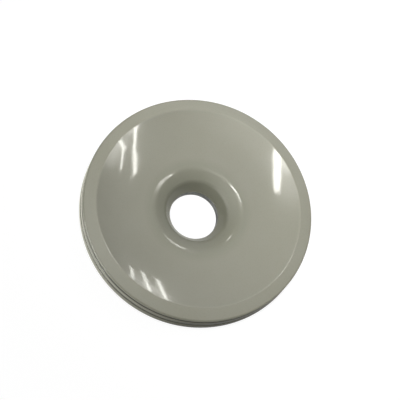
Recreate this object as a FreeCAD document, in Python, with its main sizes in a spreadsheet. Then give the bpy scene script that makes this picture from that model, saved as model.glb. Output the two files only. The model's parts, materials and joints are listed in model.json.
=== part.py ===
import FreeCAD, Part
import math
import os
import re
import Sketcher

# Porcelain disc insulator: two glazed shells cemented together round a zinc-lined bolt hole.
# The origin is on the bore axis in the plane that the foot ring stands on, and +Z runs up the
# bore towards the dished face. Every piece is turned about the bore axis. Lengths are in mm.

doc = FreeCAD.newDocument("disc_insulator")
sheet = doc.addObject("Spreadsheet::Sheet", "Sizes")

# Each row: alias, value, what it measures.
DRIVING_SIZES = [
    # outline of the disc
    ("rim_radius", 42.0, "outside of both shells"),
    ("base_rim_height", 4.8, "foot plane to the top of the lower shell's rim"),
    ("top_rim_height", 4.9, "underside of the upper shell's rim to its outer edge"),
    ("rim_band_width", 4.5, "sloping band between the outer edge and the ridge"),
    ("ridge_rise", 1.9, "ridge above the outer edge"),
    ("dish_depth", 2.55, "ridge down to the lowest circle of the dish"),
    # funnel into the bore
    ("throat_radius", 8.9, "glazed throat, just wider than the thimble"),
    ("throat_land", 0.65, "thimble bed up to the corner of the throat wall and the throat cone"),
    ("throat_rounding", 1.8, "turn from the throat wall into the throat cone"),
    ("mouth_curve", 3.0, "turn from the throat cone into the shoulder"),
    ("shoulder_curve", 16.0, "wide shoulder, level at the lowest circle of the dish"),
    ("funnel_angle", 27.4, "degrees, slope where the mouth's turn meets the shoulder"),
    ("funnel_spread", 10.65, "throat wall out to the lowest circle of the dish"),
    # rim details
    ("lip_thickness", 1.1, "outer edge down to the drip groove"),
    ("drip_groove_radius", 0.55, "half-round groove under the lip"),
    ("lip_rounding", 0.6, "rounding of the glazed outer edge"),
    ("ridge_rounding", 0.7, "rounding of the ridge"),
    ("joint_rounding", 0.5, "rounding of each shell's edge at the joint line"),
    ("foot_rounding", 2.7, "rounding of the lower outer edge"),
    # underside
    ("foot_width", 5.0, "flat unglazed foot ring"),
    ("foot_relief", 0.8, "underside inside the foot ring, above the foot plane"),
    ("hub_recess", 0.3, "lower end of the hub, above the foot plane"),
    ("hub_radius", 17.5, "outside of the hub"),
    # cemented joint between the shells
    ("seal_thickness", 0.6, "gap between the two rims"),
    ("seal_recess", 0.6, "outside of the seal, in from the rim"),
    ("land_width", 4.4, "rim land of each shell"),
    ("joint_step", 0.5, "each shell's step from its land to its cemented face"),
    ("hub_gap", 1.6, "hub to the hole in the lower shell"),
    ("sand_thickness", 0.3, "fired-on grit band"),
    ("cement_recess", 0.5, "lower end of the cement, above the relieved underside"),
    # flanged thimble and its bed
    ("bore_radius", 8.75, "clear hole for a 16 mm bolt"),
    ("thimble_wall", 1.6, "thimble tube"),
    ("thimble_height", 2.2, "thimble, foot plane to top"),
    ("flange_radius", 14.0, "thimble flange"),
    ("flange_thickness", 1.0, "thimble flange"),
    ("thimble_gap", 0.6, "cement round the thimble"),
    ("thimble_bed", 0.25, "cement over the top of the thimble"),
    ("thimble_rounding", 0.3, "broken edges of the bore"),
]
for row, (alias, size, meaning) in enumerate(DRIVING_SIZES, start=1):
    sheet.set(f"A{row}", alias)
    sheet.set(f"B{row}", str(size))
    sheet.set(f"C{row}", meaning)
    sheet.setAlias(f"B{row}", alias)
doc.recompute()

# Places shared by several pieces, written in terms of the driving sizes.
SHARED_PLACES = {
    "land_radius": "(rim_radius - land_width)",
    "upper_land": "(base_rim_height + seal_thickness)",
    "outer_edge": "(base_rim_height + seal_thickness + top_rim_height)",
    "ridge_radius": "(rim_radius - rim_band_width)",
    "ridge_height": "(outer_edge + ridge_rise)",
    "dish_floor": "(ridge_height - dish_depth)",
    "dish_floor_radius": "(throat_radius + funnel_spread)",
    "upper_joint_face": "(upper_land + joint_step)",
    "lower_joint_face": "(base_rim_height - joint_step)",
    "lower_hole_radius": "(hub_radius + hub_gap)",
    "cement_floor": "(foot_relief + cement_recess)",
    "thimble_radius": "(bore_radius + thimble_wall)",
    "thimble_ceiling": "(thimble_height + thimble_bed)",
    "flange_ceiling": "(flange_thickness + thimble_gap)",
    "throat_foot": "(thimble_ceiling + throat_land)",
    "foot_outer_radius": "(rim_radius - foot_rounding)",
    "foot_inner_radius": "(foot_outer_radius - foot_width)",
    "drip_groove_height": "(outer_edge - lip_thickness - drip_groove_radius)",
}
ALIASES = {alias for alias, size, meaning in DRIVING_SIZES}


def bound(expression):
    """Write an expression in sheet cells: shared places are opened up, aliases get the sheet's name."""
    words = set(re.findall(r"[a-z_]+", expression))
    while words & set(SHARED_PLACES):
        expression = re.sub(r"[a-z_]+", lambda word: SHARED_PLACES.get(word[0], word[0]), expression)
        words = set(re.findall(r"[a-z_]+", expression))
    return re.sub(r"[a-z_]+", lambda word: f"Sizes.{word[0]}" if word[0] in ALIASES else word[0], expression)


def measure(expression):
    """The number that an expression has at the present sizes."""
    return float(sheet.evalExpression(bound(expression)))


def new_body(label):
    """A PartDesign body at the origin, whose label names its piece and its file."""
    body = doc.addObject("PartDesign::Body", label)
    body.Label = label
    body.Placement = FreeCAD.Placement()
    return body


def half_section(body, name):
    """A sketch on the body's own XZ plane: across is the radius, up is the height."""
    plane = next(feature for feature in body.Origin.OriginFeatures if feature.Role == "XZ_Plane")
    sketch = body.newObject("Sketcher::SketchObject", name)
    sketch.AttachmentSupport = [(plane, "")]
    sketch.MapMode = "FlatFace"
    return sketch


def bind(sketch, kind, *arguments, size):
    """Add one dimension to a sketch and tie it to the sheet."""
    number = sketch.addConstraint(Sketcher.Constraint(kind, *arguments, measure(size)))
    sketch.setExpression(f"Constraints[{number}]", bound(size))


def locate(sketch, edge, end, corner):
    """Hold one end of an edge at a corner given as radius and height."""
    radius, height = corner
    bind(sketch, "DistanceX", -1, 1, edge, end, size=radius)
    if height == "0":
        sketch.addConstraint(Sketcher.Constraint("PointOnObject", edge, end, -1))
    else:
        bind(sketch, "DistanceY", -1, 1, edge, end, size=height)


def at(corner):
    """A corner's present place in a sketch."""
    return FreeCAD.Vector(measure(corner[0]), measure(corner[1]), 0)


def draw_straight(sketch, corners, closed):
    """Straight edges from corner to corner, each joined to the next; gives the edges' numbers."""
    ends = corners[1:] + corners[:1] if closed else corners[1:]
    edges = []
    for start, end in zip(corners, ends):
        edges.append(sketch.addGeometry(Part.LineSegment(at(start), at(end)), False))
        locate(sketch, edges[-1], 1, start)
    for edge, following in zip(edges, edges[1:]):
        sketch.addConstraint(Sketcher.Constraint("Coincident", edge, 2, following, 1))
    if closed:
        sketch.addConstraint(Sketcher.Constraint("Coincident", edges[-1], 2, edges[0], 1))
    else:
        locate(sketch, edges[-1], 2, corners[-1])
    return edges


def turn(body, sketch):
    """Turn a half section about the bore axis."""
    solid = body.newObject("PartDesign::Revolution", f"{body.Label}_turned")
    solid.Profile = (sketch, [""])
    solid.ReferenceAxis = (sketch, ["V_Axis"])
    solid.Angle = 360
    doc.recompute()
    return solid


def round_edges(body, corners, radius):
    """Round the circular edges of a body that lie at the given corners."""
    base = body.Tip
    places = [at(corner) for corner in corners]
    names = []
    for number, edge in enumerate(base.Shape.Edges, start=1):
        if not isinstance(edge.Curve, Part.Circle):
            continue
        place = FreeCAD.Vector(edge.Curve.Radius, edge.Curve.Center.z, 0)
        if any(place.isEqual(wanted, 1e-4) for wanted in places):
            names.append(f"Edge{number}")
    if len(names) != len(corners):
        raise RuntimeError(f"{body.Label}: {len(names)} of {len(corners)} edges found to round")
    rounding = body.newObject("PartDesign::Fillet", f"{body.Label}_{radius}")
    rounding.Base = (base, names)
    rounding.Radius = measure(radius)
    rounding.setExpression("Radius", bound(radius))
    doc.recompute()


def turned_ring(label, corners):
    """A piece with a straight-sided half section."""
    body = new_body(label)
    sketch = half_section(body, f"{label}_section")
    draw_straight(sketch, corners, closed=True)
    turn(body, sketch)
    return body


def make_upper_shell():
    """Dish, ridge, rim band and lip, with the funnel and the hub that stands in the lower shell."""
    body = new_body("upper_shell")
    sketch = half_section(body, "upper_shell_section")
    throat_end = ("throat_radius", "throat_foot")
    ridge = ("ridge_radius", "ridge_height")
    edges = draw_straight(sketch, [
        throat_end,
        ("throat_radius", "thimble_ceiling"),
        ("thimble_radius + thimble_gap", "thimble_ceiling"),
        ("thimble_radius + thimble_gap", "flange_ceiling"),
        ("flange_radius + thimble_gap", "flange_ceiling"),
        ("flange_radius + thimble_gap", "hub_recess"),
        ("hub_radius", "hub_recess"),
        ("hub_radius", "upper_joint_face"),
        ("land_radius", "upper_joint_face"),
        ("land_radius", "upper_land"),
        ("rim_radius", "upper_land"),
        ("rim_radius", "outer_edge"),
        ridge,
    ], closed=False)

    # The dish is one arc, level at its lowest circle.
    floor = at(("dish_floor_radius", "dish_floor"))
    top = at(ridge)
    run = top.x - floor.x
    rise = top.y - floor.y
    dish_curve = (run ** 2 + rise ** 2) / (2 * rise)
    dish_centre = floor + FreeCAD.Vector(0, dish_curve, 0)
    level = -math.pi / 2
    dish = sketch.addGeometry(Part.ArcOfCircle(
        Part.Circle(dish_centre, FreeCAD.Vector(0, 0, 1), dish_curve),
        level, level + math.asin(run / dish_curve)), False)
    sketch.addConstraint(Sketcher.Constraint("Coincident", dish, 2, edges[-1], 2))
    locate(sketch, dish, 1, ("dish_floor_radius", "dish_floor"))
    sketch.addConstraint(Sketcher.Constraint("Vertical", dish, 1, dish, 3))

    # The funnel: a wide shoulder, level at the dish floor, then a tighter turn at the mouth,
    # then a straight cone down to the throat wall. Each runs into the next without a corner.
    slope = math.radians(measure("funnel_angle"))
    shoulder_curve = measure("shoulder_curve")
    mouth_curve = measure("mouth_curve")
    shoulder_centre = floor - FreeCAD.Vector(0, shoulder_curve, 0)
    mouth_centre = shoulder_centre + (shoulder_curve - mouth_curve) * FreeCAD.Vector(
        -math.sin(slope), math.cos(slope), 0)
    sight = mouth_centre - at(throat_end)
    cone_angle = math.atan2(sight.y, sight.x) + math.asin(mouth_curve / sight.Length)
    cone_top = mouth_centre + mouth_curve * FreeCAD.Vector(-math.sin(cone_angle), math.cos(cone_angle), 0)
    upright = math.pi / 2
    shoulder = sketch.addGeometry(Part.ArcOfCircle(
        Part.Circle(shoulder_centre, FreeCAD.Vector(0, 0, 1), shoulder_curve), upright, upright + slope), False)
    mouth = sketch.addGeometry(Part.ArcOfCircle(
        Part.Circle(mouth_centre, FreeCAD.Vector(0, 0, 1), mouth_curve),
        upright + slope, upright + cone_angle), False)
    cone = sketch.addGeometry(Part.LineSegment(cone_top, at(throat_end)), False)
    sketch.addConstraint(Sketcher.Constraint("Coincident", shoulder, 1, dish, 1))
    sketch.addConstraint(Sketcher.Constraint("Vertical", shoulder, 1, shoulder, 3))
    sketch.addConstraint(Sketcher.Constraint("Tangent", shoulder, 2, mouth, 1))
    sketch.addConstraint(Sketcher.Constraint("Tangent", mouth, 2, cone, 1))
    sketch.addConstraint(Sketcher.Constraint("Coincident", cone, 2, edges[0], 1))
    bind(sketch, "Radius", shoulder, size="shoulder_curve")
    bind(sketch, "Radius", mouth, size="mouth_curve")
    spoke = sketch.addGeometry(Part.LineSegment(shoulder_centre, sketch.getPoint(shoulder, 2)), True)
    sketch.addConstraint(Sketcher.Constraint("Coincident", spoke, 1, shoulder, 3))
    sketch.addConstraint(Sketcher.Constraint("Coincident", spoke, 2, shoulder, 2))
    number = sketch.addConstraint(Sketcher.Constraint("Angle", spoke, upright + slope))
    sketch.setExpression(f"Constraints[{number}]", bound("90deg + funnel_angle * 1deg"))
    turn(body, sketch)

    # The drip groove is half a circle turned into the side wall under the lip.
    groove_sketch = half_section(body, "drip_groove_section")
    middle = at(("rim_radius", "drip_groove_height"))
    circle = groove_sketch.addGeometry(
        Part.Circle(middle, FreeCAD.Vector(0, 0, 1), measure("drip_groove_radius")), False)
    locate(groove_sketch, circle, 3, ("rim_radius", "drip_groove_height"))
    bind(groove_sketch, "Radius", circle, size="drip_groove_radius")
    whole_volume = body.Shape.Volume
    groove = body.newObject("PartDesign::Groove", "drip_groove")
    groove.Profile = (groove_sketch, [""])
    groove.ReferenceAxis = (groove_sketch, ["V_Axis"])
    groove.Angle = 360
    doc.recompute()
    if not body.Shape.Volume < whole_volume:
        raise RuntimeError("the drip groove cuts nothing")

    round_edges(body, [("rim_radius", "outer_edge")], "lip_rounding")
    round_edges(body, [ridge], "ridge_rounding")
    round_edges(body, [throat_end], "throat_rounding")
    round_edges(body, [("rim_radius", "upper_land")], "joint_rounding")
    return body


def make_lower_shell():
    """Base ring with a rounded foot edge, an unglazed foot ring and a hole round the hub."""
    body = turned_ring("lower_shell", [
        ("rim_radius", "0"),
        ("rim_radius", "base_rim_height"),
        ("land_radius", "base_rim_height"),
        ("land_radius", "lower_joint_face"),
        ("lower_hole_radius", "lower_joint_face"),
        ("lower_hole_radius", "foot_relief"),
        ("foot_inner_radius", "foot_relief"),
        ("foot_inner_radius", "0"),
    ])
    round_edges(body, [("rim_radius", "0")], "foot_rounding")
    round_edges(body, [("rim_radius", "base_rim_height")], "joint_rounding")
    return body


def make_rim_seal():
    """Resilient filler between the two rims, set back so that the joint shows as a groove."""
    return turned_ring("rim_seal", [
        ("land_radius", "base_rim_height"),
        ("rim_radius - seal_recess", "base_rim_height"),
        ("rim_radius - seal_recess", "upper_land"),
        ("land_radius", "upper_land"),
    ])


def make_upper_sand_band():
    """Grit fired on the upper shell, under its disc and down its hub."""
    return turned_ring("upper_sand_band", [
        ("hub_radius", "cement_floor"),
        ("hub_radius + sand_thickness", "cement_floor"),
        ("hub_radius + sand_thickness", "upper_joint_face - sand_thickness"),
        ("land_radius", "upper_joint_face - sand_thickness"),
        ("land_radius", "upper_joint_face"),
        ("hub_radius", "upper_joint_face"),
    ])


def make_lower_sand_band():
    """Grit fired on the lower shell, over its top and down its hole."""
    return turned_ring("lower_sand_band", [
        ("lower_hole_radius - sand_thickness", "cement_floor"),
        ("lower_hole_radius", "cement_floor"),
        ("lower_hole_radius", "lower_joint_face"),
        ("land_radius", "lower_joint_face"),
        ("land_radius", "lower_joint_face + sand_thickness"),
        ("lower_hole_radius - sand_thickness", "lower_joint_face + sand_thickness"),
    ])


def make_shell_cement():
    """Cement between the two grit bands, across the joint and down round the hub."""
    return turned_ring("shell_cement", [
        ("hub_radius + sand_thickness", "cement_floor"),
        ("lower_hole_radius - sand_thickness", "cement_floor"),
        ("lower_hole_radius - sand_thickness", "lower_joint_face + sand_thickness"),
        ("land_radius", "lower_joint_face + sand_thickness"),
        ("land_radius", "upper_joint_face - sand_thickness"),
        ("hub_radius + sand_thickness", "upper_joint_face - sand_thickness"),
    ])


def make_bore_thimble():
    """Flanged zinc thimble that keeps the bolt and its washer off the porcelain."""
    body = turned_ring("bore_thimble", [
        ("bore_radius", "0"),
        ("flange_radius", "0"),
        ("flange_radius", "flange_thickness"),
        ("thimble_radius", "flange_thickness"),
        ("thimble_radius", "thimble_height"),
        ("bore_radius", "thimble_height"),
    ])
    round_edges(body, [("bore_radius", "0"), ("bore_radius", "thimble_height")], "thimble_rounding")
    return body


def make_thimble_cement():
    """Cement bed round the thimble, over its flange and over its top."""
    return turned_ring("thimble_cement", [
        ("flange_radius", "hub_recess"),
        ("flange_radius + thimble_gap", "hub_recess"),
        ("flange_radius + thimble_gap", "flange_ceiling"),
        ("thimble_radius + thimble_gap", "flange_ceiling"),
        ("thimble_radius + thimble_gap", "thimble_ceiling"),
        ("throat_radius + thimble_bed", "thimble_ceiling"),
        ("throat_radius + thimble_bed", "thimble_height"),
        ("thimble_radius", "thimble_height"),
        ("thimble_radius", "flange_thickness"),
        ("flange_radius", "flange_thickness"),
    ])


pieces = [
    make_upper_shell(),
    make_lower_shell(),
    make_rim_seal(),
    make_upper_sand_band(),
    make_lower_sand_band(),
    make_shell_cement(),
    make_bore_thimble(),
    make_thimble_cement(),
]
doc.recompute()

for item in doc.Objects:
    if "Invalid" in item.State or "Error" in item.State:
        raise RuntimeError(f"{item.Label} failed: {item.State}")
for piece in pieces:
    if piece.Shape.isNull() or not piece.Shape.isValid() or len(piece.Shape.Solids) != 1:
        raise RuntimeError(f"{piece.Label} isn't one sound solid")

os.makedirs("parts", exist_ok=True)
for piece in pieces:
    piece.Shape.exportStep(f"parts/{piece.Label}.step")
    print(f"{piece.Label}: {piece.Shape.Volume:.1f} mm3")
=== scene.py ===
import json
import math

import bpy
import numpy as np
from mathutils import Matrix, Vector


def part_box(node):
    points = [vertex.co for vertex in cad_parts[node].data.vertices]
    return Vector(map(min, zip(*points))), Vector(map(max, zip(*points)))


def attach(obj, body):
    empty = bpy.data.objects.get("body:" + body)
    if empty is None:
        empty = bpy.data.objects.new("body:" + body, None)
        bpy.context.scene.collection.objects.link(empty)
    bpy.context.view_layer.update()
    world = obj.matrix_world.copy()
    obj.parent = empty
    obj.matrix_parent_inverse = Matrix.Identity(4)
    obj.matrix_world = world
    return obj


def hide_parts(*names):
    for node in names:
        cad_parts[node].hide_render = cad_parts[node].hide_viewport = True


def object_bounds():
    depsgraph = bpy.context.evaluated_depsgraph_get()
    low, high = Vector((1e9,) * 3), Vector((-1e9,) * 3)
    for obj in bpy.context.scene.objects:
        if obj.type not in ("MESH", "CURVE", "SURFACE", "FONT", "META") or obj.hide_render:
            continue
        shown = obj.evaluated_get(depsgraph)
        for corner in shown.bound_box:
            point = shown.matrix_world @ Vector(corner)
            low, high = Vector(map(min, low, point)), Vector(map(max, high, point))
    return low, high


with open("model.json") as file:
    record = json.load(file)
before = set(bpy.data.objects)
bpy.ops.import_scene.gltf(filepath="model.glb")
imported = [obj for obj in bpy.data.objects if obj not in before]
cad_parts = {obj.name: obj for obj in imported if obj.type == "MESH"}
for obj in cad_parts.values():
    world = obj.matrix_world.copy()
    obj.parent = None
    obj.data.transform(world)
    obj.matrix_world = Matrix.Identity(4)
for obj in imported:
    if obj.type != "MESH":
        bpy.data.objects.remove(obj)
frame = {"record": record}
cad_low, cad_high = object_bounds()
mm = 0.001

# ---------------------------------------------------------------------------
# Lower shell: a pressed porcelain ring that the hub of the upper shell drops into.
# It is dipped in sky-grey glaze and fired standing on its foot ring, which stays bare.
# ---------------------------------------------------------------------------


def arc(centre, radius, start, end, count):
    """
    Points on a circle: centre plus radius times (cos, sin) of the angle, with the angles spread evenly
    from start to end, in degrees.
    """
    angle = np.radians(np.linspace(start, end, count))
    return np.column_stack([centre[0] + radius * np.cos(angle), centre[1] + radius * np.sin(angle)])


def round_corners(corners, steps=7):
    """
    A closed outline of (across, up, rounding) corners with each corner rounded.
    The rounding's arc touches both sides at rounding * tan(turn / 2) from the corner. Its centre lies
    on the inner side, and its points swing evenly from the one normal to the other.
    """
    corners = np.asarray(corners, dtype=float)
    place, rounding = corners[:, :2], corners[:, 2:]
    arriving = place - np.roll(place, 1, axis=0)
    arriving /= np.linalg.norm(arriving, axis=1, keepdims=True)
    leaving = np.roll(arriving, -1, axis=0)
    side = arriving[:, 0] * leaving[:, 1] - arriving[:, 1] * leaving[:, 0]
    turn = np.arctan2(side, np.sum(arriving * leaving, axis=1))[:, None]
    inward = np.sign(turn) * np.column_stack([-arriving[:, 1], arriving[:, 0]])
    centre = place - arriving * rounding * np.tan(np.abs(turn) / 2) + inward * rounding
    swing = turn * np.linspace(0, 1, steps)[None, :]
    spoke = -inward
    across = spoke[:, :1] * np.cos(swing) - spoke[:, 1:] * np.sin(swing)
    up = spoke[:, :1] * np.sin(swing) + spoke[:, 1:] * np.cos(swing)
    arcs = centre[:, None, :] + rounding[:, None, :] * np.stack([across, up], axis=2)
    keep = np.ones((len(corners), steps), dtype=bool)
    keep[rounding[:, 0] == 0, 1:] = False
    return arcs[keep]


def turned(name, section, materials, turns=360, waver=None, material_of=None):
    """
    A closed outline carried round the bore axis: point (a, b) of the grid stands at
    (radius(b) cos(angle(a)), radius(b) sin(angle(a)), height(b)), and both directions close on themselves.
    waver moves the whole grid of points at once; material_of picks each face's material from its middle.
    """
    angle = np.linspace(0, 2 * math.pi, turns, endpoint=False)[:, None]
    radius, height = section[None, :, 0], section[None, :, 1]
    heights = np.broadcast_to(height, (turns, len(section)))
    points = np.stack([radius * np.cos(angle), radius * np.sin(angle), heights], axis=2)
    if waver is not None:
        points = waver(points)
    number = np.arange(turns * len(section)).reshape(turns, len(section))
    along = np.roll(number, -1, axis=1)
    faces = np.stack([number, np.roll(number, -1, axis=0), np.roll(along, -1, axis=0), along], axis=2)
    area = np.sum(section[:, 0] * np.roll(section[:, 1], -1) - np.roll(section[:, 0], -1) * section[:, 1])
    if area < 0:
        faces = faces[:, :, ::-1]
    flat = points.reshape(-1, 3)
    corner_numbers = faces.reshape(-1, 4)
    mesh = bpy.data.meshes.new(name)
    mesh.vertices.add(len(flat))
    mesh.vertices.foreach_set("co", flat.ravel())
    mesh.loops.add(corner_numbers.size)
    mesh.loops.foreach_set("vertex_index", corner_numbers.ravel())
    mesh.polygons.add(len(corner_numbers))
    mesh.polygons.foreach_set("loop_start", np.arange(0, corner_numbers.size, 4))
    mesh.polygons.foreach_set("use_smooth", np.ones(len(corner_numbers), dtype=bool))
    for material in materials:
        mesh.materials.append(material)
    if material_of is not None:
        middles = flat[corner_numbers].mean(axis=1)
        mesh.polygons.foreach_set("material_index", material_of(middles).astype(np.int32))
    mesh.update(calc_edges=True)
    mesh.validate()
    piece = bpy.data.objects.new(name, mesh)
    bpy.context.scene.collection.objects.link(piece)
    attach(piece, "root")
    return piece


def node_adder(tree):
    """A function that adds nodes to tree, each input given a value or linked to another node's socket."""

    def add(kind, inputs=None, **settings):
        """One new node of this kind."""
        node = tree.nodes.new(kind)
        for key, value in settings.items():
            setattr(node, key, value)
        for socket, value in (inputs or {}).items():
            if isinstance(value, bpy.types.NodeSocket):
                tree.links.new(value, node.inputs[socket])
            else:
                node.inputs[socket].default_value = value
        return node

    return add


def blank_material(name):
    """A material with only the Principled shader and its output, and what adds and links its nodes."""
    material = bpy.data.materials.new(name)
    material.use_nodes = True
    tree = material.node_tree
    return material, tree.nodes["Principled BSDF"], node_adder(tree), tree.links.new


def reckon(add, operation, *values):
    """The result of one step of arithmetic on two or three numbers or sockets."""
    return add("ShaderNodeMath", dict(enumerate(values)), operation=operation).outputs[0]


def multiplied(add, first, second):
    """Two colours multiplied, channel by channel."""
    mix = add("ShaderNodeMix", {"Factor": 1.0, 6: first, 7: second}, data_type="RGBA", blend_type="MULTIPLY")
    return mix.outputs[2]


def ramp(add, factor, stops):
    """A colour ramp through (position, colour) stops."""
    node = add("ShaderNodeValToRGB", {"Fac": factor})
    elements = node.color_ramp.elements
    while len(elements) < len(stops):
        elements.new(0.5)
    for element, (position, colour) in zip(elements, stops):
        element.position = position
        element.color = (*colour, 1)
    return node.outputs["Color"]


glaze_colour = np.array([0.285, 0.282, 0.222])
bare_porcelain_colour = np.array([0.62, 0.58, 0.50])
# Near-black of the painted shade in the drip groove and the joint line.
painted_shade_colour = np.array([0.05, 0.048, 0.036])
dish_tone = (1.0, 1.0, 1.0)
# Painted light that pales the rim band, and painted shade that darkens the side.
rim_band_painted_light = (1.21, 1.21, 1.22)
side_painted_shade = (0.7, 0.7, 0.64)


def make_glaze():
    """
    Fired sky-grey glaze: a faintly mottled colour under a clear coat, with a slow ripple and a fine peel.
    Painted shade darkens it into the throat and down the side, and painted light makes it paler over the rim
    band.
    Painted shade dulls the side a little, and blackens the drip groove and the joint line, which are set
    back.
    """
    material, shader, add, link = blank_material("sky_grey_glaze")
    place = add("ShaderNodeTexCoord").outputs["Object"]
    cloud = add("ShaderNodeTexNoise", {"Vector": place, "Scale": 45.0, "Detail": 4.0, "Roughness": 0.55})
    speckle = add("ShaderNodeTexNoise", {"Vector": place, "Scale": 2600.0, "Detail": 2.0, "Roughness": 0.6})
    mottled = ramp(add, cloud.outputs["Fac"], [
        (0.25, glaze_colour * 0.965), (0.5, glaze_colour), (0.75, glaze_colour * (1.03, 1.03, 1.05))])
    dusted = ramp(add, speckle.outputs["Fac"], [
        (0.3, (0.95, 0.95, 0.94)), (0.45, (1.0, 1.0, 1.0)), (0.8, (1.02, 1.02, 1.02))])
    flat_place = add("ShaderNodeVectorMath", {0: place, 1: (1, 1, 0)}, operation="MULTIPLY")
    radius = add("ShaderNodeVectorMath", {0: flat_place.outputs[0]}, operation="LENGTH").outputs["Value"]
    width_share = reckon(add, "DIVIDE", radius, 2 * rim_radius)
    # Painted shade into the throat and down the side, and painted light over the rim band, set by radius.
    painted_light_and_shade = ramp(add, width_share, [
        (0.105, (0.65, 0.66, 0.63)), (0.15, (0.76, 0.77, 0.74)), (0.2, (0.9, 0.91, 0.89)),
        (0.24, dish_tone), (0.44, dish_tone), (0.45, rim_band_painted_light), (0.493, rim_band_painted_light),
        (0.5, side_painted_shade)])
    toned = multiplied(add, multiplied(add, mottled, dusted), painted_light_and_shade)
    height = add("ShaderNodeSeparateXYZ", {"Vector": place}).outputs["Z"]
    over_foot = add("ShaderNodeMapRange", {
        "Value": height, "From Min": side_shade_foot, "From Max": side_shade_foot + side_shade_rise}).outputs["Result"]
    under_lip = reckon(add, "LESS_THAN", height, side_shade_top)
    on_side = reckon(add, "MULTIPLY", over_foot, under_lip)
    recess = reckon(add, "SUBTRACT", rim_radius, radius)
    # Painted shade: a little on the side face, full in the drip groove and the joint line.
    recess_shading = ramp(add, reckon(add, "DIVIDE", recess, recess_shade_depth), [
        (0.01, (0.22, 0.22, 0.22)), (0.08, (1.0, 1.0, 1.0)), (0.9, (1.0, 1.0, 1.0)), (1.0, (0.0, 0.0, 0.0))])
    painted_shade_mask = reckon(add, "MULTIPLY", on_side, recess_shading)
    colour = add("ShaderNodeMix", {"Factor": painted_shade_mask, 6: toned, 7: (*painted_shade_colour, 1)}, data_type="RGBA")
    link(colour.outputs[2], shader.inputs["Base Color"])
    smear = add("ShaderNodeTexNoise", {"Vector": place, "Scale": 120.0, "Detail": 3.0})
    roughness = add("ShaderNodeMapRange", {
        "Value": smear.outputs["Fac"], "From Min": 0.3, "From Max": 0.7, "To Min": 0.20, "To Max": 0.27})
    link(roughness.outputs["Result"], shader.inputs["Roughness"])
    ripple = add("ShaderNodeTexNoise", {"Vector": place, "Scale": 95.0, "Detail": 1.0})
    peel = add("ShaderNodeTexNoise", {"Vector": place, "Scale": 650.0, "Detail": 1.0})
    rippled = add("ShaderNodeBump", {"Height": ripple.outputs["Fac"], "Strength": 1.0, "Distance": 0.03 * mm})
    peeled = add("ShaderNodeBump", {
        "Height": peel.outputs["Fac"], "Strength": 1.0, "Distance": 0.0012 * mm,
        "Normal": rippled.outputs["Normal"]})
    link(peeled.outputs["Normal"], shader.inputs["Normal"])
    link(peeled.outputs["Normal"], shader.inputs["Coat Normal"])
    shader.inputs["IOR"].default_value = 1.45
    shader.inputs["Specular IOR Level"].default_value = 0.3
    shader.inputs["Coat Weight"].default_value = 1.0
    shader.inputs["Coat Roughness"].default_value = 0.06
    shader.inputs["Coat IOR"].default_value = 1.5
    return material


def make_bare_porcelain():
    """Unglazed fired porcelain: off-white, dry and faintly gritty, with grey rubbing marks."""
    material, shader, add, link = blank_material("bare_porcelain")
    place = add("ShaderNodeTexCoord").outputs["Object"]
    rub = add("ShaderNodeTexNoise", {"Vector": place, "Scale": 160.0, "Detail": 6.0, "Roughness": 0.65})
    rubbed = ramp(add, rub.outputs["Fac"], [
        (0.3, bare_porcelain_colour * 0.72), (0.48, bare_porcelain_colour),
        (0.8, bare_porcelain_colour * 1.06)])
    link(rubbed, shader.inputs["Base Color"])
    grain = add("ShaderNodeTexNoise", {"Vector": place, "Scale": 3200.0, "Detail": 4.0})
    gritty = add("ShaderNodeBump", {"Height": grain.outputs["Fac"], "Strength": 0.7, "Distance": 0.05 * mm})
    link(gritty.outputs["Normal"], shader.inputs["Normal"])
    shader.inputs["Roughness"].default_value = 0.78
    return material


def kiln_waver(depth, seed):
    """Slow unevenness of a fired face: heights gain depth times the mean of a few crossing sine waves."""
    random = np.random.default_rng(seed)
    waves = 7
    heading = random.uniform(0, 2 * math.pi, waves)
    wave_length = random.uniform(13 * mm, 30 * mm, waves)
    phase = random.uniform(0, 2 * math.pi, waves)

    def waver(points):
        """The grid of points, lifted by the waves."""
        across = points[..., 0, None] * np.cos(heading) + points[..., 1, None] * np.sin(heading)
        lift = np.sin(2 * math.pi * across / wave_length + phase).mean(axis=-1)
        moved = points.copy()
        moved[..., 2] += depth * lift
        return moved

    return waver


rim_radius = cad_high.x
# Where the painted shade lies on the side: from over the foot to under the lip, and how far it reaches into
# the recesses.
side_shade_foot = 2.9 * mm
side_shade_top = 9.5 * mm
side_shade_rise = 2 * mm
recess_shade_depth = 2 * mm
glaze = make_glaze()
bare_porcelain = make_bare_porcelain()

sand_thickness = 0.3 * mm
lower_rim_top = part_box("lower_shell")[1].z
lower_joint_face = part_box("lower_sand_band")[1].z - sand_thickness
land_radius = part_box("lower_sand_band")[1].x
hub_radius = 17.5 * mm
cement_gap = 1.6 * mm
lower_hole_radius = hub_radius + cement_gap
foot_rounding = 2.7 * mm
foot_outer_radius = rim_radius - foot_rounding
foot_ring_width = 5.0 * mm
foot_inner_radius = foot_outer_radius - foot_ring_width
foot_relief = 0.8 * mm
wiped_height = 0.18 * mm
wiped_radius = foot_outer_radius + 0.4 * mm
hole_edge_top = foot_relief + 0.3 * mm
bare_reach = land_radius + 3 * mm

lower_section = round_corners([
    (rim_radius, 0, foot_rounding),
    (rim_radius, lower_rim_top, 0.5 * mm),
    (land_radius, lower_rim_top, 0.1 * mm),
    (land_radius, lower_joint_face, 0.1 * mm),
    (lower_hole_radius, lower_joint_face, 0.2 * mm),
    (lower_hole_radius, foot_relief, 0.35 * mm),
    (foot_inner_radius - 1.2 * mm, foot_relief, 0.6 * mm),
    (foot_inner_radius, 0, 0.3 * mm),
], steps=15)


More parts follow.
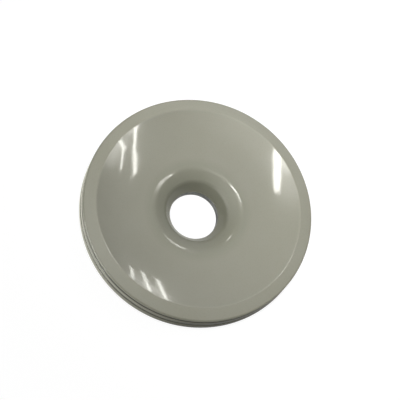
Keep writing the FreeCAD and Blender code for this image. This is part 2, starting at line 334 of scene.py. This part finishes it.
def lower_finish(middle):
    """Bare on the foot ring, where the glaze is wiped off, and inside the joint. Glazed elsewhere."""
    radius = np.hypot(middle[:, 0], middle[:, 1])
    height = middle[:, 2]
    foot = (height < wiped_height) & (radius < wiped_radius)
    joint = (height > hole_edge_top) & (radius < bare_reach)
    return foot | joint


lower_shell = turned("lower_shell_glazed", lower_section, [glaze, bare_porcelain], material_of=lower_finish)
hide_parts("lower_shell")

# ---------------------------------------------------------------------------
# Upper shell: the dished porcelain disc, pressed in one with the funnel and the hub.
# A ridge rings the dish, the rim band falls outside it, and a drip groove runs under the lip.
# ---------------------------------------------------------------------------
upper_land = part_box("rim_seal")[1].z
upper_joint_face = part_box("upper_sand_band")[1].z
lip_height = 4.9 * mm
outer_edge = upper_land + lip_height
rim_band_width = 4.5 * mm
ridge_radius = rim_radius - rim_band_width
rim_band_fall = 1.9 * mm
ridge_height = outer_edge + rim_band_fall
dish_depth = 2.55 * mm
dish_floor = ridge_height - dish_depth
throat_radius = 8.9 * mm
funnel_reach = 10.65 * mm
dish_floor_radius = throat_radius + funnel_reach
funnel_angle = 25.2
shoulder_radius = 17.4 * mm
shoulder_curve = 6.25 * mm
upper_cone = 2.7 * mm
mouth_curve = 3.0 * mm
throat_rounding = 1.8 * mm
bed_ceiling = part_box("thimble_cement")[1].z
throat_land = 0.65 * mm
throat_foot = bed_ceiling + throat_land
bed_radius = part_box("thimble_cement")[1].x
hub_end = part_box("upper_shell")[0].z
thimble_bed_radius = 10.95 * mm
flange_ceiling = 1.6 * mm
lip_bead = 1.1 * mm
drip_groove_radius = 0.55 * mm
drip_groove_height = outer_edge - lip_bead - drip_groove_radius
buried = 3

# The dish is an arc that lies level at its floor. The funnel is a straight cone between the curve of
# its shoulder and that of its mouth. A steeper cone rises from the throat and meets the mouth's curve
# as a tangent.
dish_run = ridge_radius - dish_floor_radius
dish_curve = (dish_run ** 2 + dish_depth ** 2) / (2 * dish_depth)
dish_slope = math.degrees(math.asin(dish_run / dish_curve))
funnel_slope = math.radians(funnel_angle)
funnel_normal = Vector((-math.sin(funnel_slope), math.cos(funnel_slope)))
down_funnel = Vector((-math.cos(funnel_slope), -math.sin(funnel_slope)))
shoulder_middle = Vector((shoulder_radius, dish_floor - shoulder_curve))
mouth_middle = shoulder_middle + (shoulder_curve - mouth_curve) * funnel_normal + upper_cone * down_funnel
sight = mouth_middle - Vector((throat_radius, throat_foot))
cone_angle = math.degrees(math.atan2(sight.y, sight.x) + math.asin(mouth_curve / sight.length))

dish = arc((dish_floor_radius, dish_floor + dish_curve), dish_curve, -90 + dish_slope, -90, 62)
shoulder = arc(shoulder_middle, shoulder_curve, 90, 90 + funnel_angle, 28)
mouth = arc(mouth_middle, mouth_curve, 90 + funnel_angle, 90 + cone_angle, 18)
drip_groove = arc((rim_radius, drip_groove_height), drip_groove_radius, 270, 90, 15)


def sharp_rows(points):
    """Points of a curve as (across, up, rounding) corners with no rounding."""
    return np.column_stack([points, np.zeros(len(points))])


upper_section = round_corners(np.vstack([
    [(rim_radius, upper_land, 0.5 * mm)],
    [(rim_radius, drip_groove_height - drip_groove_radius, 0.4 * mm)],
    sharp_rows(drip_groove[buried:-buried]),
    [(rim_radius, drip_groove_height + drip_groove_radius, 0.2 * mm)],
    [(rim_radius, outer_edge, 0.7 * mm)],
    [(ridge_radius, ridge_height, 0.7 * mm)],
    sharp_rows(dish[1:]),
    sharp_rows(shoulder),
    sharp_rows(mouth),
    [(throat_radius, throat_foot, throat_rounding)],
    [(throat_radius, bed_ceiling, 0.15 * mm)],
    [(thimble_bed_radius, bed_ceiling, 0)],
    [(thimble_bed_radius, flange_ceiling, 0)],
    [(bed_radius, flange_ceiling, 0)],
    [(bed_radius, hub_end, 0.15 * mm)],
    [(hub_radius, hub_end, 0.3 * mm)],
    [(hub_radius, upper_joint_face, 0.2 * mm)],
    [(land_radius, upper_joint_face, 0.1 * mm)],
    [(land_radius, upper_land, 0.1 * mm)],
]), steps=9)

throat_edge = 0.3 * mm
hub_slack = 0.1 * mm
face_slack = 0.01 * mm


def upper_finish(middle):
    """Bare on the hub's end, past the edge of the throat, and inside the joint. Glazed elsewhere."""
    radius = np.hypot(middle[:, 0], middle[:, 1])
    height = middle[:, 2] - face_slack
    inner = (radius > throat_radius + throat_edge) & (radius < hub_radius + hub_slack)
    outer = (radius > hub_radius - hub_slack) & (radius < bare_reach)
    return inner & (height < bed_ceiling) | outer & (height < upper_joint_face)


upper_shell = turned(
    "upper_shell_glazed", upper_section, [glaze, bare_porcelain],
    waver=kiln_waver(0.012 * mm, seed=4), material_of=upper_finish)
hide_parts("upper_shell")

# ---------------------------------------------------------------------------
# Grit bands: crushed porcelain fired onto the bare joint faces of both shells.
# The cement keys into them. Only their lower ends show, in the slot round the hub.
# ---------------------------------------------------------------------------
cement_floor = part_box("shell_cement")[0].z


def make_grit():
    """Sharp pale grit in a greyer bond: a fine noise gives the tone, and a cell pattern raises the grains."""
    material, shader, add, link = blank_material("porcelain_grit")
    place = add("ShaderNodeTexCoord").outputs["Object"]
    grains = add("ShaderNodeTexVoronoi", {"Vector": place, "Scale": 2400.0})
    shade = add("ShaderNodeTexNoise", {"Vector": place, "Scale": 1500.0, "Detail": 5.0})
    grit_tone = ramp(add, shade.outputs["Fac"], [
        (0.32, (0.20, 0.185, 0.16)), (0.5, (0.47, 0.45, 0.40)), (0.7, (0.66, 0.63, 0.57))])
    link(grit_tone, shader.inputs["Base Color"])
    raised = add("ShaderNodeBump", {
        "Height": grains.outputs["Distance"], "Strength": 1.0, "Distance": 0.12 * mm})
    link(raised.outputs["Normal"], shader.inputs["Normal"])
    shader.inputs["Roughness"].default_value = 0.85
    return material


grit = make_grit()
upper_band_section = round_corners([
    (hub_radius, cement_floor, 0.05 * mm),
    (hub_radius + sand_thickness, cement_floor, 0.1 * mm),
    (hub_radius + sand_thickness, upper_joint_face - sand_thickness, 0.1 * mm),
    (land_radius, upper_joint_face - sand_thickness, 0.1 * mm),
    (land_radius, upper_joint_face, 0),
    (hub_radius, upper_joint_face, 0),
], steps=5)
lower_band_section = round_corners([
    (lower_hole_radius - sand_thickness, cement_floor, 0.1 * mm),
    (lower_hole_radius, cement_floor, 0.05 * mm),
    (lower_hole_radius, lower_joint_face, 0),
    (land_radius, lower_joint_face, 0),
    (land_radius, lower_joint_face + sand_thickness, 0.1 * mm),
    (lower_hole_radius - sand_thickness, lower_joint_face + sand_thickness, 0.1 * mm),
], steps=5)
for band_name, band_section in (
        ("upper_sand_band", upper_band_section),
        ("lower_sand_band", lower_band_section)):
    band = turned(f"{band_name}_grit", band_section, [grit], turns=240)
    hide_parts(band_name)

# ---------------------------------------------------------------------------
# Shell cement: neat Portland cement run between the grit bands, across the joint and
# down round the hub. Its lower end is struck off by hand, so it is slightly dished and uneven.
# ---------------------------------------------------------------------------


def make_cement():
    """Set cement: blotchy pale grey with dark pores and a dry, finely pitted face."""
    material, shader, add, link = blank_material("cement")
    place = add("ShaderNodeTexCoord").outputs["Object"]
    blotch = add("ShaderNodeTexNoise", {"Vector": place, "Scale": 260.0, "Detail": 6.0, "Roughness": 0.7})
    pores = add("ShaderNodeTexVoronoi", {"Vector": place, "Scale": 1300.0})
    body_tone = ramp(add, blotch.outputs["Fac"], [
        (0.3, (0.24, 0.235, 0.22)), (0.5, (0.37, 0.36, 0.34)), (0.72, (0.48, 0.47, 0.44))])
    pore_tone = ramp(add, pores.outputs["Distance"], [(0.08, (0.35, 0.35, 0.35)), (0.22, (1.0, 1.0, 1.0))])
    link(multiplied(add, body_tone, pore_tone), shader.inputs["Base Color"])
    face = add("ShaderNodeBump", {"Height": blotch.outputs["Fac"], "Strength": 0.8, "Distance": 0.15 * mm})
    pits = add("ShaderNodeBump", {
        "Height": pores.outputs["Distance"], "Strength": 0.6, "Distance": 0.08 * mm,
        "Normal": face.outputs["Normal"]})
    link(pits.outputs["Normal"], shader.inputs["Normal"])
    shader.inputs["Roughness"].default_value = 0.92
    return material


def struck_off(depth, seed):
    """
    Unevenness of hand-struck cement: the low face rises by depth times a half plus half the mean of
    a few sine waves round the ring.
    """
    random = np.random.default_rng(seed)
    lobes = np.array([3, 5, 8, 13, 21])
    phase = random.uniform(0, 2 * math.pi, len(lobes))
    low_face = 0.25 * mm

    def waver(points):
        """The grid of points, with the low face lifted."""
        angle = np.arctan2(points[..., 1], points[..., 0])
        lift = 0.5 + 0.5 * np.sin(angle[..., None] * lobes + phase).mean(axis=-1)
        low = points[..., 2] < points[..., 2].min() + low_face
        moved = points.copy()
        moved[..., 2] += np.where(low, depth * lift, 0)
        return moved

    return waver


cement = make_cement()
cement_inner = hub_radius + sand_thickness
cement_outer = lower_hole_radius - sand_thickness
shell_cement_section = round_corners([
    (cement_inner, cement_floor, 0.08 * mm),
    ((cement_inner + cement_outer) / 2, cement_floor + 0.12 * mm, 0.5 * mm),
    (cement_outer, cement_floor, 0.08 * mm),
    (cement_outer, lower_joint_face + sand_thickness, 0.1 * mm),
    (land_radius, lower_joint_face + sand_thickness, 0),
    (land_radius, upper_joint_face - sand_thickness, 0),
    (cement_inner, upper_joint_face - sand_thickness, 0.1 * mm),
], steps=7)
shell_cement = turned(
    "shell_cement_struck", shell_cement_section, [cement], turns=300, waver=struck_off(0.3 * mm, seed=11))
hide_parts("shell_cement")

# ---------------------------------------------------------------------------
# Rim seal: a dark bead of resilient filler pressed into the joint between the two rims.
# It is set back from the side, so the joint reads as a fine dark line round the disc.
# ---------------------------------------------------------------------------


def make_filler():
    """Near-black filler, matt, dusted lighter where it has been wiped."""
    material, shader, add, link = blank_material("joint_filler")
    place = add("ShaderNodeTexCoord").outputs["Object"]
    dust = add("ShaderNodeTexNoise", {"Vector": place, "Scale": 420.0, "Detail": 5.0})
    dusty = ramp(add, dust.outputs["Fac"], [
        (0.35, (0.018, 0.018, 0.016)), (0.6, (0.04, 0.04, 0.036)), (0.8, (0.085, 0.083, 0.075))])
    link(dusty, shader.inputs["Base Color"])
    drag = add("ShaderNodeBump", {"Height": dust.outputs["Fac"], "Strength": 0.7, "Distance": 0.06 * mm})
    link(drag.outputs["Normal"], shader.inputs["Normal"])
    shader.inputs["Roughness"].default_value = 0.7
    return material


seal_low, seal_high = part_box("rim_seal")
seal_middle = (seal_low.z + seal_high.z) / 2
seal_bulge = 0.12 * mm
rim_seal = turned("rim_seal_bead", round_corners([
    (land_radius, seal_low.z, 0),
    (seal_high.x - seal_bulge, seal_low.z, 0.05 * mm),
    (seal_high.x, seal_middle, 0.25 * mm),
    (seal_high.x - seal_bulge, seal_high.z, 0.05 * mm),
    (land_radius, seal_high.z, 0),
], steps=5), [make_filler()], turns=300)
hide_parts("rim_seal")

# ---------------------------------------------------------------------------
# Bore thimble: a flanged zinc casting that lines the foot of the bolt hole. Its bore is
# reamed, its flange is turned flat, and the rest keeps the dull grey skin of the casting.
# ---------------------------------------------------------------------------


def make_zinc():
    """Dull zinc: grey bloom over brighter metal, with fine turning rings round the bore axis."""
    material, shader, add, link = blank_material("zinc")
    place = add("ShaderNodeTexCoord").outputs["Object"]
    bloom = add("ShaderNodeTexNoise", {"Vector": place, "Scale": 380.0, "Detail": 6.0, "Roughness": 0.62})
    bloomed = ramp(add, bloom.outputs["Fac"], [
        (0.35, (0.20, 0.205, 0.21)), (0.55, (0.30, 0.305, 0.31)), (0.75, (0.42, 0.425, 0.43))])
    link(bloomed, shader.inputs["Base Color"])
    dullness = add("ShaderNodeMapRange", {
        "Value": bloom.outputs["Fac"], "From Min": 0.3, "From Max": 0.7, "To Min": 0.62, "To Max": 0.42})
    link(dullness.outputs["Result"], shader.inputs["Roughness"])
    rings = add("ShaderNodeTexWave", {
        "Vector": place, "Scale": 900.0, "Distortion": 0.6, "Detail": 2.0, "Detail Scale": 3.0},
        wave_type="RINGS", rings_direction="Z")
    turning = add("ShaderNodeBump", {"Height": rings.outputs["Fac"], "Strength": 0.5, "Distance": 0.01 * mm})
    link(turning.outputs["Normal"], shader.inputs["Normal"])
    shader.inputs["Metallic"].default_value = 0.85
    return material


thimble_low, thimble_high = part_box("bore_thimble")
bore_mount = next(mount for mount in frame["record"]["mounts"] if mount["name"] == "bolt_bore")
bore_radius = bore_mount["dims"]["r_mm"] * mm
thimble_wall = 1.6 * mm
thimble_radius = bore_radius + thimble_wall
flange_thickness = 1.0 * mm
thimble = turned("bore_thimble_turned", round_corners([
    (bore_radius, thimble_low.z, 0.3 * mm),
    (thimble_high.x, thimble_low.z, 0.15 * mm),
    (thimble_high.x, flange_thickness, 0.1 * mm),
    (thimble_radius, flange_thickness, 0.2 * mm),
    (thimble_radius, thimble_high.z, 0.1 * mm),
    (bore_radius, thimble_high.z, 0.3 * mm),
], steps=9), [make_zinc()], turns=300)
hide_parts("bore_thimble")

# ---------------------------------------------------------------------------
# Thimble cement: the bed that holds the thimble, over its flange and round its tube.
# It shows as a pale ring round the flange underneath and as a hairline over the tube.
# ---------------------------------------------------------------------------
bed_bore = throat_radius + 0.25 * mm
thimble_cement = turned("thimble_cement_struck", round_corners([
    (thimble_high.x, hub_end + 0.1 * mm, 0.05 * mm),
    ((thimble_high.x + bed_radius) / 2, hub_end + 0.14 * mm, 0.3 * mm),
    (bed_radius, hub_end + 0.05 * mm, 0.05 * mm),
    (bed_radius, flange_ceiling, 0),
    (thimble_bed_radius, flange_ceiling, 0),
    (thimble_bed_radius, bed_ceiling, 0),
    (bed_bore, bed_ceiling, 0.04 * mm),
    (bed_bore, thimble_high.z, 0.04 * mm),
    (thimble_radius, thimble_high.z, 0),
    (thimble_radius, flange_thickness, 0),
    (thimble_high.x, flange_thickness, 0),
], steps=5), [cement], turns=300, waver=struck_off(0.12 * mm, seed=5))
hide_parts("thimble_cement")

# ---------------------------------------------------------------------------
# Stage: a white floor under the part. The camera sees it plain white, and the part's shadow is kept
# in the light that the part gets back from it.
# ---------------------------------------------------------------------------


def make_floor():
    """
    White to the camera. Where the part mirrors the ground, the ground has the part's shadow in it: a disc
    moved away from the brighter side that clears over a quarter of a radius, with a lighter patch left
    under the bore. The matt bounce is matt_bounce times that, and both are a little warm.
    """
    material, shader, add, link = blank_material("white_floor")
    place = add("ShaderNodeTexCoord").outputs["Object"]
    from_shadow = add("ShaderNodeVectorMath", {
        0: place, 1: shadow_middle}, operation="DISTANCE").outputs["Value"]
    cleared = add("ShaderNodeMapRange", {
        "Value": from_shadow, "From Min": 0.85 * rim_radius, "From Max": 1.1 * rim_radius,
        "To Min": shadow_level, "To Max": 1.0}).outputs["Result"]
    from_bore = add("ShaderNodeVectorMath", {0: place}, operation="LENGTH").outputs["Value"]
    patch = add("ShaderNodeMapRange", {
        "Value": from_bore, "From Min": bore_radius, "From Max": bore_radius + 1 * mm,
        "To Min": bore_patch_level, "To Max": 0.0}).outputs["Result"]
    ray = add("ShaderNodeLightPath").outputs
    mirroring = reckon(add, "MAXIMUM", ray["Is Glossy Ray"], ray["Is Transmission Ray"])
    share = reckon(add, "MULTIPLY_ADD", ray["Is Diffuse Ray"], matt_bounce, mirroring)
    shaded = reckon(add, "MULTIPLY", share, reckon(add, "MAXIMUM", cleared, patch))
    level = reckon(add, "MAXIMUM", ray["Is Camera Ray"], shaded)
    link(reckon(add, "MULTIPLY", level, floor_glow), shader.inputs["Emission Strength"])
    tint = add("ShaderNodeMix", {
        "Factor": ray["Is Camera Ray"], 6: warm_bounce, 7: (1, 1, 1, 1)}, data_type="RGBA")
    link(tint.outputs[2], shader.inputs["Emission Color"])
    shader.inputs["Base Color"].default_value = (0.2, 0.2, 0.2, 1)
    shader.inputs["Specular IOR Level"].default_value = 0
    shader.inputs["Roughness"].default_value = 1
    return material


floor_reach = 3.0
floor_glow = 0.88
shadow_level = 0.1
bore_patch_level = 0.35
matt_bounce = 0.25
warm_bounce = (0.95, 0.95, 0.8, 1)
shadow_bearing = math.radians(340)
shadow_middle = Vector((math.cos(shadow_bearing), math.sin(shadow_bearing), 0)) * 0.3 * rim_radius
floor_mesh = bpy.data.meshes.new("floor")
floor_mesh.from_pydata(
    [(x, y, 0) for x, y in ((-1, -1), (1, -1), (1, 1), (-1, 1))], [], [(0, 1, 2, 3)])
floor_mesh.transform(Matrix.Scale(floor_reach, 4))
floor_mesh.materials.append(make_floor())
floor = bpy.data.objects.new("floor", floor_mesh)
floor.location.z = cad_low.z - 0.02 * mm
bpy.context.scene.collection.objects.link(floor)

# ---------------------------------------------------------------------------
# Camera: a long lens, high over the dished face and turned on its side a little.
# ---------------------------------------------------------------------------
elevation = math.radians(67.5)
roll = math.radians(34.2)
camera_distance = 20 * rim_radius
aim = Vector((0, 0, outer_edge))
toward = Vector((0, -math.cos(elevation), math.sin(elevation)))
level_right = Vector((1, 0, 0))
level_up = toward.cross(level_right)
right = level_right * math.cos(roll) + level_up * math.sin(roll)
up = level_up * math.cos(roll) - level_right * math.sin(roll)
camera_data = bpy.data.cameras.new("camera")
camera_data.sensor_width = 36
camera_data.lens = 210.8
camera_data.shift_x = 0.0042
camera_data.shift_y = 0.0221
camera_data.clip_start = 0.05
camera_data.clip_end = 20
camera = bpy.data.objects.new("camera", camera_data)
camera.matrix_world = Matrix.Translation(aim + toward * camera_distance) @ Matrix(
    (right, up, toward)).transposed().to_4x4()
bpy.context.scene.collection.objects.link(camera)
bpy.context.scene.camera = camera

# ---------------------------------------------------------------------------
# Light: a soft room that is brighter on the left, and a soft pool from overhead that is stronger at
# the upper right. Ceiling tubes in hazy reflectors and one low window show in the glaze alone.
# ---------------------------------------------------------------------------
ceiling = 1.5
lamp_colour = (1.0, 0.99, 0.94)


def hang(data, place, along):
    """
    Hang a lamp at place, pointing at the part, with its long side as near to along as that allows.
    Matt faces don't see it.
    """
    data.color = lamp_colour
    backward = place.normalized()
    lengthwise = (along - backward * along.dot(backward)).normalized()
    lamp = bpy.data.objects.new(data.name, data)
    lamp.matrix_world = Matrix.Translation(place) @ Matrix(
        (lengthwise, backward.cross(lengthwise), backward)).transposed().to_4x4()
    lamp.visible_camera = False
    lamp.visible_diffuse = False
    bpy.context.scene.collection.objects.link(lamp)


def pane(name, length, width, strength):
    """A rectangular lamp whose face is strength bright: its energy is strength times pi times its area."""
    data = bpy.data.lights.new(name, "AREA")
    data.shape = "RECTANGLE"
    data.size = length
    data.size_y = width
    data.energy = strength * math.pi * length * width
    return data


def tube(name, start, end, width, strength):
    """A strip lamp on the ceiling from start to end, given as metres across for each metre up."""
    first = Vector((*start, 1.0)) * ceiling
    last = Vector((*end, 1.0)) * ceiling
    hang(pane(name, (last - first).length, width, strength), (first + last) / 2, last - first)


def sky_direction(bearing, height):
    """Unit vector at a bearing, counted round from x, and a height over the horizon, both in degrees."""
    flat = Vector((math.cos(math.radians(bearing)), math.sin(math.radians(bearing)), 0))
    return flat * math.cos(math.radians(height)) + Vector((0, 0, math.sin(math.radians(height))))


def window(name, bearing, height, width, tall, strength):
    """An upright bright pane at the side, as far off as the ceiling is high."""
    place = sky_direction(bearing, height) * ceiling
    hang(pane(name, width, tall, strength), place, place.cross(Vector((0, 0, 1))))


def haze(name, middle, reach, strength):
    """
    A round haze on the ceiling round middle, fading out at reach, both in metres across for each metre up.
    A lamp whose spread is twice the angle a is tan(a) / (tan(a) - a) times as bright along its axis.
    """
    place = Vector((*middle, 1.0)) * ceiling
    half = math.atan(reach * ceiling / place.length)
    data = bpy.data.lights.new(name, "AREA")
    data.shape = "DISK"
    data.size = 2 * reach * ceiling
    data.spread = 2 * half
    area = math.pi * (reach * ceiling) ** 2
    data.energy = strength * math.pi * area * (1 - half / math.tan(half))
    hang(data, place, Vector((1, 0, 0)))


tube("tube_left_inner", (0.54, 0.224), (0.321, 0.375), 0.026, 26)
tube("tube_left_inner_end", (0.321, 0.375), (0.145, 0.435), 0.022, 26)
tube("tube_left_outer", (0.59, 0.402), (0.411, 0.408), 0.022, 22)
tube("tube_left_outer_end", (0.412, 0.408), (0.3, 0.486), 0.022, 22)
haze("haze_left", (0.53, 0.455), 0.16, 5.5)
haze("haze_left_flare", (0.52, 0.28), 0.08, 8)
tube("tube_right_a", (-0.145, -0.085), (-0.168, 0.195), 0.04, 20)
tube("tube_right_b", (-0.171, -0.085), (-0.194, 0.176), 0.04, 20)
haze("haze_right", (-0.28, 0.03), 0.16, 3)
haze("haze_right_flare", (-0.22, -0.05), 0.08, 9)
tube("tube_low_a", (0.1, 1.05), (0.078, 1.29), 0.028, 15)
tube("tube_low_b", (0.032, 0.965), (-0.05, 1.28), 0.03, 16)
tube("tube_low_c", (-0.04, 0.915), (-0.147, 1.27), 0.035, 16)
haze("haze_low", (-0.03, 1.2), 0.16, 3.7)
haze("haze_far", (-0.85, 0.69), 0.1, 20)
haze("haze_top", (0.07, -0.1), 0.3, 1.2)
window("window_left", 226, 3.5, 1.1, 0.16, 20)

pool_data = bpy.data.lights.new("pool", "SPOT")
pool_data.energy = 8.3
pool_data.spot_size = math.radians(26)
pool_data.spot_blend = 1.0
pool_data.shadow_soft_size = 0.03
pool = bpy.data.objects.new("pool", pool_data)
pool_place = Vector((0, -0.1, 0.6))
pool_aim = right * 0.06 + up * 0.045
pool_turn = (pool_place - pool_aim).to_track_quat("Z", "Y")
pool.matrix_world = Matrix.Translation(pool_place) @ pool_turn.to_matrix().to_4x4()
pool.visible_camera = False
pool.visible_glossy = False
bpy.context.scene.collection.objects.link(pool)

# The room's level is a floor level plus soft lobes: each is its brightness times the fourth power of
# the cosine from its middle. The camera sees plain white, and mirrored rays see a veil of that white.
lobes = ((0, 90, 0.43), (0, 30, 0.18), (95, 30, 0.75), (225, 30, 1.4))
lobe_power = 4
veil = 0.12
world = bpy.data.worlds.new("room")
bpy.context.scene.world = world
world.use_nodes = True
add_to_room = node_adder(world.node_tree)
looking = add_to_room("ShaderNodeTexCoord").outputs["Generated"]
room_level = 0.03
for bearing, height, brightness in lobes:
    facing = add_to_room("ShaderNodeVectorMath", {
        0: looking, 1: sky_direction(bearing, height)}, operation="DOT_PRODUCT").outputs["Value"]
    fading = reckon(add_to_room, "POWER", reckon(add_to_room, "MAXIMUM", facing, 0), lobe_power)
    room_level = reckon(add_to_room, "MULTIPLY_ADD", fading, brightness, room_level)
room_ray = add_to_room("ShaderNodeLightPath").outputs
room_mirrored = reckon(add_to_room, "MAXIMUM", room_ray["Is Glossy Ray"], room_ray["Is Transmission Ray"])
room_white = reckon(add_to_room, "MULTIPLY_ADD", room_mirrored, veil, room_ray["Is Camera Ray"])
room_shown = add_to_room("ShaderNodeMix", {0: room_white, 2: room_level, 3: 1.0}).outputs[0]
background = world.node_tree.nodes["Background"]
background.inputs["Color"].default_value = (1, 1, 1, 1)
world.node_tree.links.new(room_shown, background.inputs["Strength"])

bpy.context.scene.view_settings.view_transform = "Standard"
